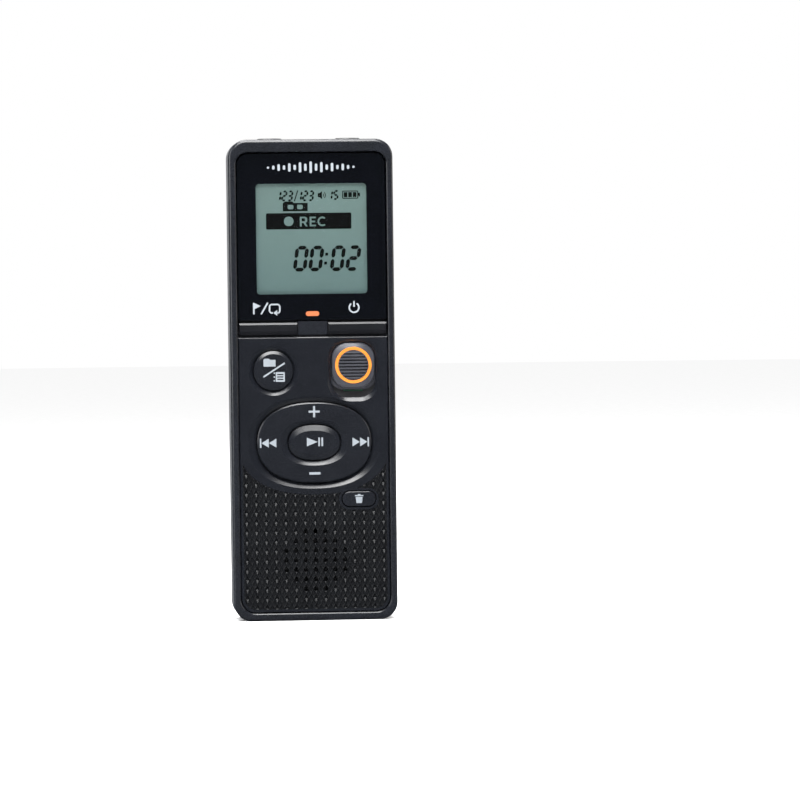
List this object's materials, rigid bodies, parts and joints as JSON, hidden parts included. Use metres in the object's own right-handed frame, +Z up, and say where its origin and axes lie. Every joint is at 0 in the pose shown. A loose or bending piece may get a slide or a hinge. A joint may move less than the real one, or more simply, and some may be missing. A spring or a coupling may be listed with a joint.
{
  "type": "handheld voice recorder",
  "caption": "Slim upright pocket voice recorder: square display window on top, round key and slide switch, four-way pad, speaker grille, sliding battery cover and sockets in the top end.",
  "frame": {"origin": "centre of the bottom end's bounding box, where the recorder stands", "axes": "+Z up along the body to the sockets' end, display and keys face -Y, +X to the right seen from the front"},
  "size_m": [0.0368, 0.017, 0.1084],
  "materials": {
    "rear_plastic": "silver-grey painted shell, satin",
    "frame_plastic": "dark blue-grey metallic paint, satin",
    "panel_plastic": "black, fine satin",
    "lens_plastic": "gloss black window",
    "key_plastic": "black, half gloss",
    "ring_plastic": "orange, gloss",
    "pipe_plastic": "orange, clear",
    "rubber": "black silicone",
    "board": "green laminate",
    "chip": "black moulding compound",
    "steel": "bright",
    "nickel": "nickel plate",
    "dome_metal": "sprung dome",
    "display_glass": "green-grey liquid crystal",
    "white_plastic": "white diffuser",
    "black_plastic": "black",
    "cell_jacket": "printed jacket",
    "cloth": "black mesh",
    "cone_film": "film",
    "clear_epoxy": "lamp"
  },
  "bodies": {
    "case": {"rear_shell": "rear_plastic", "front_frame": "frame_plastic", "key_panel": "panel_plastic", "display_lens": "lens_plastic", "light_pipe": "pipe_plastic", "key_membrane": "rubber", "key_domes": "dome_metal", "key_board": "board", "main_board": "board", "board_link": "black_plastic", "processor": "chip", "memory_chip": "chip", "crystal": "steel", "capacitors": "steel", "slide_switch": "steel", "display_holder": "black_plastic", "backlight": "white_plastic", "display_cell": "display_glass", "display_gasket": "rubber", "earphone_socket": "black_plastic", "microphone_socket": "black_plastic", "microphone": "steel", "microphone_boot": "rubber", "usb_socket": "nickel", "speaker_basket": "black_plastic", "speaker_magnet": "nickel", "speaker_cone": "cone_film", "speaker_gasket": "rubber", "dust_cloth": "cloth", "left_cell": "cell_jacket", "right_cell": "cell_jacket", "contact_plates": "nickel", "contact_springs": "nickel", "case_screws": "steel", "indicator_led": "clear_epoxy"},
    "index_key": {"index_key": "key_plastic"},
    "power_key": {"power_key": "key_plastic"},
    "folder_key": {"folder_key": "key_plastic"},
    "record_slider": {"record_slider": "key_plastic", "slider_ring": "ring_plastic"},
    "nav_pivot": {"nav_pivot": "rubber"},
    "nav_pad": {"nav_pad": "key_plastic"},
    "play_key": {"play_key": "key_plastic"},
    "erase_key": {"erase_key": "key_plastic"},
    "battery_cover": {"battery_cover": "rear_plastic"}
  },
  "joints": [
    {"name": "index_press", "type": "slide", "parent": "case", "child": "index_key", "axis": [0, 1, 0], "range_m": [0, 0.0003], "stiffness_N_per_m": 400},
    {"name": "power_press", "type": "slide", "parent": "case", "child": "power_key", "axis": [0, 1, 0], "range_m": [0, 0.0003], "stiffness_N_per_m": 400},
    {"name": "folder_press", "type": "slide", "parent": "case", "child": "folder_key", "axis": [0, 1, 0], "range_m": [0, 0.0003], "stiffness_N_per_m": 400},
    {"name": "play_press", "type": "slide", "parent": "case", "child": "play_key", "axis": [0, 1, 0], "range_m": [0, 0.00025], "stiffness_N_per_m": 400},
    {"name": "erase_press", "type": "slide", "parent": "case", "child": "erase_key", "axis": [0, 1, 0], "range_m": [0, 0.0003], "stiffness_N_per_m": 400},
    {"name": "record_slide", "type": "slide", "parent": "case", "child": "record_slider", "axis": [0, 0, 1], "range_m": [-0.0021, 0]},
    {"name": "nav_left_right", "type": "hinge", "parent": "case", "child": "nav_pivot", "pos_m": [0, -0.0061, 0.04], "axis": [0, 0, 1], "range_deg": [-1, 1], "stiffness_Nm_per_rad": 0.03},
    {"name": "nav_up_down", "type": "hinge", "parent": "nav_pivot", "child": "nav_pad", "pos_m": [0, -0.0061, 0.04], "axis": [1, 0, 0], "range_deg": [-1, 1], "stiffness_Nm_per_rad": 0.03},
    {"name": "cover_slide", "type": "slide", "parent": "case", "child": "battery_cover", "axis": [0, 0, -1], "range_m": [0, 0.056]}
  ]
}
